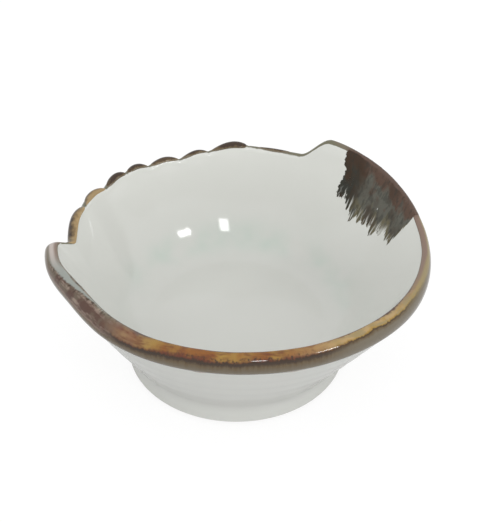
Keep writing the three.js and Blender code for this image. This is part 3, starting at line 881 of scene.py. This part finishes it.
def brushed_glaze(tints):
    """Iron-black glaze, laid on in one stroke of a wide brush: streaks run down the stroke, and the pale
    glaze shows between the bristles at its end. Small pale spots over the stroke are painted glints."""
    material, tree = new_finish("iron_black_glaze_brushed")
    down, depth, over = (add_node(tree, "Attribute", output="Fac", attribute_name=name)
                         for name in ("down", "depth", "over"))
    # The less of the depth a pattern takes, the further it is drawn out down the stroke
    noise, places = {}, {}
    for name, taken, size in (
            ("streak", 0.1, 1.0), ("patch", 0.7, 5), ("cloud", 0.8, 9), ("grain", 0.4, 1.6)):
        height = add_node(tree, "Math", {0: depth, 1: taken}, operation="MULTIPLY")
        places[name] = add_node(tree, "CombineXYZ", {"X": over, "Y": height})
        pattern = {"Vector": places[name], "Scale": per(size), "Detail": 4.0}
        noise[name] = add_node(tree, "TexNoise", pattern)
    # Painted highlights: small pale spots over the stroke stand for glints of light on its satin surface
    painted_glint = add_node(tree, "TexVoronoi", {"Vector": places["grain"], "Scale": per(6)}, "Distance")
    level = down
    for name, size in (("patch", 0.7), ("streak", 0.1)):
        uneven = add_node(tree, "MapRange", {"Value": noise[name], "To Min": -size, "To Max": size})
        level = add_node(tree, "Math", {0: level, 1: uneven}, operation="ADD")
    # Shares: what each follows, where it starts and where it is full, and its most
    shares = {}
    for name, source, low, high, most in (
            ("left", over, 26 * MM, 33 * MM, 0.9),
            ("end", down, 0.7, 1, 1),
            ("gap", noise["streak"], 0.5, 0.64, 1),
            ("cloud", noise["cloud"], 0.45, 0.62, 0.6),
            ("grain", noise["grain"], 0.48, 0.62, 0.45),
            ("painted_glint", painted_glint, 0.05, 0.03, 0.7)):
        steps = {"Value": source, "From Min": low, "From Max": high, "To Max": most}
        shares[name] = add_node(tree, "MapRange", steps, interpolation_type="SMOOTHSTEP")
    shares["dry"] = add_node(tree, "Math", {0: shares["end"], 1: shares["gap"]}, operation="MULTIPLY")
    bands = banded(tints, ("brush_rust", 0, 0.16), ("brush_grey", 0.34, 0.68), ("brush_olive", 0.86, 1))
    tint = add_node(tree, "ValToRGB", {"Fac": level}, stops=bands)
    bands = banded(tints, ("brush_brown", 0, 0.34), ("brush_black", 0.5, 1))
    left = add_node(tree, "ValToRGB", {"Fac": level}, stops=bands)
    for name, layer in (
            ("left", left),
            ("cloud", tints.brush_brown),
            ("grain", tints.brush_black),
            # Painted glints of light, as small pale spots
            ("painted_glint", tints.pale),
            ("dry", tints.pale)):
        layers = {SHARE: shares[name], UNDER: tint, OVER: layer}
        tint = add_node(tree, "Mix", layers, MIXED, data_type="RGBA")
    # Iron oxide has broken up the surface of the glass, so it reflects less than the glossy glazes
    satin = {"Base Color": tint, "Roughness": 0.3, "IOR": 1.5, "Specular IOR Level": 0.3}
    glass = add_node(tree, "BsdfPrincipled", satin)
    add_node(tree, "OutputMaterial", {"Surface": glass})
    return material


def bare_clay(tints):
    """Stoneware, thrown and fired without glaze: matt, with darker grit about half a millimetre wide."""
    material, tree = new_finish("stoneware_bare")
    place = add_node(tree, "TexCoord", output="Object")
    grit = add_node(tree, "TexNoise", {"Vector": place, "Scale": per(0.6), "Detail": 3.0})
    dark = add_node(tree, "MapRange", {"Value": grit, "From Min": 0.55, "From Max": 0.7})
    layers = {SHARE: dark, UNDER: tints.clay, OVER: tints.grog}
    tint = add_node(tree, "Mix", layers, MIXED, data_type="RGBA")
    bump = add_node(tree, "Bump", {"Height": grit, "Strength": 0.3, "Distance": 0.1 * MM})
    matt = {"Base Color": tint, "Roughness": 0.85, "IOR": 1.5, "Normal": bump}
    clay = add_node(tree, "BsdfPrincipled", matt)
    add_node(tree, "OutputMaterial", {"Surface": clay})
    return material


def turned(profile, sides=144):
    """Points of a profile of (radius, height) turned about the foot's axis."""
    angle = np.linspace(0, 2 * np.pi, sides, endpoint=False)
    radius, height = np.array(profile).T
    around = pairs(np.cos(angle), np.sin(angle))[:, None]
    level = radius[None, :, None] * around + np.array(FOOT_MIDDLE.xy)
    return np.concatenate([level, np.broadcast_to(height[None, :, None], (sides, len(height), 1))], -1)


def arc(start, bend, end):
    """Points of a smooth corner between two points."""
    t = np.linspace(0, 1, BEND_ROWS + 1)[:, None]
    return curve(*(np.array(point, float) for point in (start, bend, end)), t)


class BOWL_OT_clay(bpy.types.Operator):
    """Form the clay of the bowl and its foot ring"""
    bl_idname = "bowl.form_clay"
    bl_label = "Form clay"

    def execute(self, context):
        sizes = context.scene.bowl_sizes
        clay = bare_clay(context.scene.bowl_colours)
        section = Section(sizes, ROUND)
        spans = [stretch(span, span + 1, rows) for span, rows in enumerate(CLAY_ROWS)]
        outline = np.concatenate([*spans, [WALL_END]])
        face = section.stand(section.flat(outline))
        under = pairs(np.linspace(0, 1, len(outline)) * section.foot[:, None], sizes.foot_height)
        made = skin(face, section.stand(under), closed=True, pole=True)
        add_piece("bowl_clay", made, clay, ["stoneware_body"])
        outer, inner = sizes.foot_radius, sizes.foot_radius - sizes.foot_width
        bevel, top = sizes.foot_bevel, sizes.foot_height
        face = np.concatenate([
            [(inner, top)],
            arc((inner, bevel), (inner, 0), (inner + bevel, 0)),
            arc((outer - bevel, 0), (outer, 0), (outer, bevel)),
            [(outer, top)],
        ])
        back = pairs(np.linspace(inner, outer, len(face)), top)
        made = skin(turned(face), turned(back), closed=True)
        add_piece("foot_clay", made, clay, ["foot_ring"])
        return {"FINISHED"}


class BOWL_OT_pale_coats(bpy.types.Operator):
    """Dip the bowl in its pale glaze: inside, outside, foot and underside"""
    bl_idname = "bowl.dip_pale"
    bl_label = "Dip in pale glaze"

    def execute(self, context):
        sizes = context.scene.bowl_sizes
        self.glaze = pale_glaze(context.scene.bowl_colours)
        section = Section(sizes, ROUND)
        start, end = section.brown_borders()
        self.inside(sizes, section, start)
        self.outside(sizes, section, end)
        self.underside(sizes)
        return {"FINISHED"}

    def coat(self, name, node, face, back, measures=None, pole=False):
        made = skin(face, back, closed=True, pole=pole)
        plain = np.zeros(face.shape[:2])
        add_piece(name, made, self.glaze, [node], measures or {"pooled": plain, "thin": plain})

    def inside(self, sizes, section, border):
        level = np.zeros(len(ROUND))
        borders = [level, level + FLOOR_END, level + FILLET_END, level + WALL_TOP, border]
        places = steps_through(borders, INSIDE_ROWS)
        # The glaze pooled along the back and the right of the floor
        towards_pool = smooth(np.cos(np.radians(section.azimuth - POOL_AZIMUTH)), *POOL_FADE)[:, None]
        pooled = np.exp(-((places - POOL_PLACE) / POOL_WIDTH) ** 2) * mix(POOL_LEAST, 1, towards_pool)
        grey_places, grey_starts = np.array(GREY_EDGE).T
        grey = np.interp(np.mod(section.azimuth, 360), grey_places, grey_starts * MM)[:, None]
        thin = smooth(section.to_crest(places) + grey, -GREY_FADE, GREY_FADE)
        self.coat("inside_pale_glaze", "inside_glaze", section.above(places, sizes.coat),
                  section.above(places, 0.0), {"pooled": pooled, "thin": thin}, pole=True)

    def outside(self, sizes, section, border):
        bend = sizes.foot_bend
        wall = np.linalg.norm(section.knots[:, -1] - section.wall_end, axis=-1)
        below_lip = np.maximum(border, EDGE_END + BELOW_LIP)
        places = steps_through([border, below_lip, WALL_END - bend / wall], OUTSIDE_ROWS)
        face, back = section.lifted(places, sizes.coat), section.lifted(places, 0.0)
        # The coat turns from the wall to the upright side of the foot in one curve
        down = face[:, -1] - face[:, -2]
        foot = section.foot + sizes.coat
        corner = face[:, -1] + down * ((foot - face[:, -1, 0]) / down[:, 0])[:, None]
        low = pairs(foot, corner[:, 1] - bend)
        inner = pairs(section.foot, low[:, 1])
        t = np.linspace(0, 1, BEND_ROWS + 1)[1:, None]
        turn = curve(face[:, -1:], corner[:, None], low[:, None], t)
        back_turn = curve(back[:, -1:], section.wall_end[:, None], inner[:, None], t)
        face, back = np.concatenate([face, turn], 1), np.concatenate([back, back_turn], 1)
        places = np.concatenate([places, np.full((len(ROUND), len(t)), WALL_END)], 1)
        edge = 1 - roll(section.azimuth)[:, None]
        thin = edge * smooth(places, OUTER_SHOULDER + THIN_OUTSIDE, OUTER_SHOULDER)
        self.coat("outside_pale_glaze", "outside_glaze", section.stand(face), section.stand(back),
                  {"pooled": 0 * thin, "thin": thin})
        self.foot(sizes, section, low, inner)

    def foot(self, sizes, section, low, inner):
        t = np.linspace(0, 1, FOOT_ROWS + 1)[:, None]
        end = pairs(section.foot + FOOT_COAT_END, sizes.foot_bevel)
        bend = pairs(low[:, 0], sizes.foot_bevel + FOOT_COAT_TAPER)
        near_bend = mix(low, bend, FOOT_EVEN)
        face = np.concatenate([
            mix(low[:, None], near_bend[:, None], t[:-1]),
            mix(near_bend[:, None], bend[:, None], t[:-1]),
            mix(bend[:, None], end[:, None], t),
        ], 1)
        back_end = pairs(section.foot, end[:, 1])
        back = mix(inner[:, None], back_end[:, None], np.linspace(0, 1, face.shape[1])[:, None])
        self.coat("foot_pale_glaze", "foot_glaze", section.stand(face), section.stand(back))

    def underside(self, sizes):
        reach = sizes.foot_radius - sizes.foot_width
        outlines = []
        for depth, end in ((sizes.coat, UNDER_FACE_END), (0, UNDER_BACK_END)):
            wall, roof = reach - depth, sizes.foot_height - depth
            bend = arc((wall - UNDER_BEND, roof), (wall, roof), (wall, roof - UNDER_BEND))
            low = [(wall, sizes.foot_bevel + sizes.coat), (reach, sizes.foot_bevel + end)]
            outlines.append(np.concatenate([[(0, roof), (reach / 2, roof)], bend, low]))
        face, back = (turned(outline) for outline in outlines)
        # This coat faces down, so its back is the upper side of the skin
        self.coat("underside_pale_glaze", "underside_glaze", back, face, pole=True)


class BOWL_OT_lip(bpy.types.Operator):
    """Pour the iron glaze over the rolled lip"""
    bl_idname = "bowl.pour_lip"
    bl_label = "Pour lip glaze"

    def execute(self, context):
        sizes = context.scene.bowl_sizes
        azimuth = ROUND[roll(ROUND) > ROLL_LEAST]
        azimuth = azimuth[np.argsort(past_notch(azimuth))]
        turn = past_notch(azimuth)
        section = Section(sizes, azimuth)
        places = steps_between(*section.brown_borders(), LIP_ROWS)
        across = np.broadcast_to(np.linspace(0, 1, LIP_ROWS + 1), places.shape)
        # The lip's glaze swells from its borders, but not where the brush stroke runs over it
        stroke = past_notch(BRUSH_RIGHT)
        swelling = roll(azimuth) * smooth(turn, stroke, stroke - SWELL_CLEAR)
        swell = smooth(across, 0, SWELL_BORDER) * smooth(across, 1, 1 - SWELL_BORDER) * swelling[:, None]
        face = section.above(places, sizes.coat + sizes.brown_swell * swell)
        # The way along the lip is measured on its rounded top, a third of the way across
        along = run_along(face[:, LIP_ROWS // 3])
        measures = {
            "turn": turn[:, None] + 0 * across,
            "across": across,
            "along": along[:, None] + 0 * across,
        }
        made = skin(face, section.above(places, 0.0), closed=False)
        glaze = lip_glaze(context.scene.bowl_colours)
        add_piece("lip_iron_glaze", made, glaze, ["rim_glaze"], measures)
        return {"FINISHED"}


class BOWL_OT_dabs(bpy.types.Operator):
    """Dab iron glaze on each scallop of the crimped edge and on the low swell beside them"""
    bl_idname = "bowl.dab_edge"
    bl_label = "Dab edge"

    def execute(self, context):
        sizes = context.scene.bowl_sizes
        self.glaze = dab_glaze(context.scene.bowl_colours)
        ends = np.append(VALLEYS[1:-1], LAST_DAB_END)
        for k, form in enumerate(SCALLOP_DABS):
            name, node = f"scallop_dab_{k + 1}", f"scallop_glaze_{k + 1}"
            self.dab(sizes, name, node, VALLEYS[k], ends[k], SCALLOP_MARGIN, form)
        self.dab(sizes, "back_edge_dab", "back_edge_glaze", DIP, VALLEYS[0], BACK_MARGIN, BACK_DAB)
        return {"FINISHED"}

    def dab(self, sizes, name, node, right, left, margin, form):
        """A leaf of glaze over the crest between two valleys, clear of them by a share of its width."""
        thickness, inside, thickest, thinning, warm = form
        along = np.linspace(0, 1, DAB_LONG + 1)
        section = Section(sizes, mix(right, left, mix(margin, 1 - margin, along)))
        skew = math.log(0.5) / math.log(thickest)
        leaf = np.clip(np.sin(np.pi * along ** skew), DAB_LEAST, 1) ** thinning
        inner = section.from_crest(-inside * MM * leaf)
        outer = section.from_crest(sizes.dab_outside * leaf)
        places = steps_between(inner, outer, DAB_ACROSS)
        across = np.linspace(0, 1, DAB_ACROSS + 1)
        dome = 1 - np.abs(2 * across - 1) ** DAB_FLATNESS
        swell = np.sqrt(leaf)[:, None] * dome
        face = section.above(places, sizes.coat + IRON_PROUD + thickness * MM * swell)
        back = section.above(places, sizes.coat - IRON_SUNK)
        measures = {"swell": swell, "across": across + 0 * swell, "warm": warm + 0 * swell}
        add_piece(name, skin(face, back, closed=False), self.glaze, [node], measures)


class BOWL_OT_brush_mark(bpy.types.Operator):
    """Brush the iron-black stroke down the inside below the peak"""
    bl_idname = "bowl.brush_mark"
    bl_label = "Brush mark"

    def execute(self, context):
        sizes = context.scene.bowl_sizes
        over = np.linspace(0, 1, STROKE_ACROSS + 1)
        reach = self.reach(over)[:, None]
        top = sizes.brown_inside - sizes.brush_overlap
        depth = steps_between(reach[:, 0], np.full(len(over), top), STROKE_DOWN)
        # The left border wanders as the bristles spread, and the bristles near it follow
        border_depths, border = np.array(LEFT_BORDER).T
        frayed = sum(size * np.sin(depth * per(pitch) + start) for size, pitch, start in BORDER_FRAY)
        drawn_in = 1 - np.interp(depth, border_depths * MM, border) + frayed
        spread = drawn_in * smooth(over, SPREAD_FROM, 1)[:, None]
        azimuth = mix(BRUSH_RIGHT, BRUSH_LEFT, over[:, None] - spread)
        section = Section(sizes, azimuth.ravel())
        places = section.from_crest(-depth.ravel())[:, None]
        thickness = sizes.brush * smooth(depth, reach, reach - BRISTLE_TAPER)
        sunk = OVERLAP_SUNK * smooth(depth, sizes.brown_inside, top)
        height = sizes.coat + IRON_PROUD + thickness * smooth(depth, top, sizes.brown_inside) - sunk
        face = section.above(places, height.reshape(-1, 1)).reshape(*depth.shape, 3)
        back = section.above(places, sizes.coat - IRON_SUNK).reshape(*depth.shape, 3)
        run = run_along(face[:, -1])
        measures = {"down": depth / reach, "depth": depth, "over": run[:, None] + 0 * depth}
        made = skin(face, back, closed=False)
        glaze = brushed_glaze(context.scene.bowl_colours)
        add_piece("brushed_mark", made, glaze, ["brush_mark"], measures)
        return {"FINISHED"}

    def reach(self, over):
        """How far each bristle reaches below the crest: clumps of bristles, each with a few stray ends."""
        draw = np.random.RandomState(BRISTLE_SEED)
        places, ends = np.array(BRISTLE_ENDS).T
        reach = np.interp(over, places, ends)
        for count, depth in STRAY_ENDS:
            gaps = np.concatenate([[0], np.sort(draw.uniform(0, 1, count)), [1]])
            depths = draw.uniform(STRAY_LEAST, 1, count + 1) * depth
            k = np.clip(np.searchsorted(gaps, over, side="right") - 1, 0, count)
            within = (over - gaps[k]) / np.maximum(gaps[k + 1] - gaps[k], STRAY_WIDTH)
            reach = reach - depths[k] * np.abs(2 * within - 1) ** STRAY_POINT
        return np.maximum(reach, REACH_LEAST) * MM


class BOWL_OT_stage(bpy.types.Operator):
    """Set the table, the light and the camera"""
    bl_idname = "bowl.set_stage"
    bl_label = "Set stage"

    def execute(self, context):
        scene = context.scene
        scene.view_settings.view_transform = "Standard"
        studio = scene.bowl_studio
        self.table(scene)
        self.sky(scene, studio)
        self.lamps(scene, studio)
        self.camera(scene, studio)
        return {"FINISHED"}

    def seen(self, tree, *rays):
        """1 for a ray of one of the kinds: from the camera, in a gloss or through glass."""
        shown = 0.0
        for ray in rays:
            kind = add_node(tree, "LightPath", output=ray)
            shown = add_node(tree, "Math", {0: shown, 1: kind}, operation="MAXIMUM")
        return shown

    def table(self, scene):
        mesh = bpy.data.meshes.new("table")
        corners = [(x * TABLE_HALF, y * TABLE_HALF, 0) for x, y in ((-1, -1), (1, -1), (1, 1), (-1, 1))]
        mesh.from_pydata(corners, [], [(0, 1, 2, 3)])
        table = bpy.data.objects.new("table", mesh)
        scene.collection.objects.link(table)
        material, tree = new_finish("white_paper")
        # The camera sees white paper with a faint shadow, glosses see it with its whole shadow
        paper, shade, mirrored = (add_node(tree, "BsdfDiffuse", {"Color": linear(tone)})
                                  for tone in ("#b4b4b4", "#6f6f6f", "#f2f2f2"))
        white = add_node(tree, "Emission", {"Strength": PAPER_GLOW})
        both = add_node(tree, "AddShader", {0: shade, 1: white})
        in_gloss = self.seen(tree, "Is Glossy Ray", "Is Transmission Ray")
        shown = add_node(tree, "MixShader", {0: in_gloss, 1: paper, 2: mirrored})
        shown = add_node(tree, "MixShader", {0: self.seen(tree, "Is Camera Ray"), 1: shown, 2: both})
        add_node(tree, "OutputMaterial", {"Surface": shown})
        mesh.materials.append(material)

    def sky(self, scene, studio):
        """Light from all round, with a white card low at the front and a grey one low at the back; rays that
        show the surroundings see plain white."""
        world = bpy.data.worlds.new("studio")
        world.use_nodes = True
        tree = world.node_tree
        tree.nodes.clear()
        towards = add_node(tree, "TexCoord", output="Generated")
        height = add_node(tree, "SeparateXYZ", {"Vector": towards}, "Z")
        low = add_node(tree, "MapRange", {"Value": height, "From Min": CARD_TOP, "From Max": 0},
                       interpolation_type="SMOOTHSTEP")
        cards = {0: towards, 1: studio.low_lean}
        lean = add_node(tree, "VectorMath", cards, "Value", operation="DOT_PRODUCT")
        strength = add_node(tree, "Math", {0: lean, 1: low, 2: studio.sky}, operation="MULTIPLY_ADD")
        light = add_node(tree, "Background", {"Color": (1, 1, 1), "Strength": strength})
        white = add_node(tree, "Background", {"Color": (1, 1, 1), "Strength": 1.0})
        rays = self.seen(tree, "Is Camera Ray", "Is Glossy Ray", "Is Transmission Ray")
        shown = add_node(tree, "MixShader", {0: rays, 1: light, 2: white})
        add_node(tree, "OutputWorld", {"Surface": shown})
        scene.world = world

    def lamps(self, scene, studio):
        middle = RIM_MIDDLE + Vector((0, 0, LAMP_AIM))
        for name, (side, rise, width, height, radiance) in SOFTBOXES.items():
            side, rise = math.radians(side), math.radians(rise)
            level = math.cos(rise)
            towards = Vector((math.sin(side) * level, -math.cos(side) * level, math.sin(rise)))
            lamp = bpy.data.lights.new(name, "AREA")
            lamp.shape, lamp.size, lamp.size_y = "RECTANGLE", width, height
            lamp.energy = studio.softboxes * radiance * math.pi * width * height
            holder = bpy.data.objects.new(name, lamp)
            holder.location = middle + towards * studio.lamp_distance
            holder.rotation_euler = (-towards).to_track_quat("-Z", "Y").to_euler()
            scene.collection.objects.link(holder)

    def camera(self, scene, studio):
        lens = bpy.data.cameras.new("camera")
        lens.lens = studio.lens
        lens.clip_start, lens.clip_end = CAMERA_NEAR, CAMERA_FAR
        camera = bpy.data.objects.new("camera", lens)
        aim = RIM_MIDDLE + Vector((studio.aim_side, 0, studio.aim_height))
        back = Vector((0, -math.cos(studio.elevation), math.sin(studio.elevation)))
        camera.location = aim + back * studio.distance
        camera.rotation_euler = (-back).to_track_quat("-Z", "Y").to_euler()
        scene.collection.objects.link(camera)
        scene.camera = camera


GROUPS = {"bowl_sizes": BowlSizes, "bowl_colours": GlazeColours, "bowl_studio": StudioSettings}
OPERATORS = (BOWL_OT_clay, BOWL_OT_pale_coats, BOWL_OT_lip, BOWL_OT_dabs, BOWL_OT_brush_mark, BOWL_OT_stage)


class BOWL_PT_sidebar(bpy.types.Panel):
    """The steps of making the bowl, and its sizes and colours"""
    bl_idname = "BOWL_PT_sidebar"
    bl_label = "Glazed bowl"
    bl_space_type = "VIEW_3D"
    bl_region_type = "UI"
    bl_category = "Bowl"

    def draw(self, context):
        for step in OPERATORS:
            self.layout.operator(step.bl_idname)
        for name, kind in GROUPS.items():
            for setting in kind.__annotations__:
                self.layout.prop(getattr(context.scene, name), setting)


def register():
    for kind in (*GROUPS.values(), *OPERATORS, BOWL_PT_sidebar):
        bpy.utils.register_class(kind)
    for name, kind in GROUPS.items():
        setattr(bpy.types.Scene, name, PointerProperty(type=kind))


def unregister():
    for name in GROUPS:
        delattr(bpy.types.Scene, name)
    for kind in reversed((*GROUPS.values(), *OPERATORS, BOWL_PT_sidebar)):
        bpy.utils.unregister_class(kind)


def main():
    register()
    bpy.ops.bowl.form_clay()
    bpy.ops.bowl.dip_pale()
    bpy.ops.bowl.pour_lip()
    bpy.ops.bowl.dab_edge()
    bpy.ops.bowl.brush_mark()
    bpy.ops.bowl.set_stage()


if __name__ == "__main__":
    main()
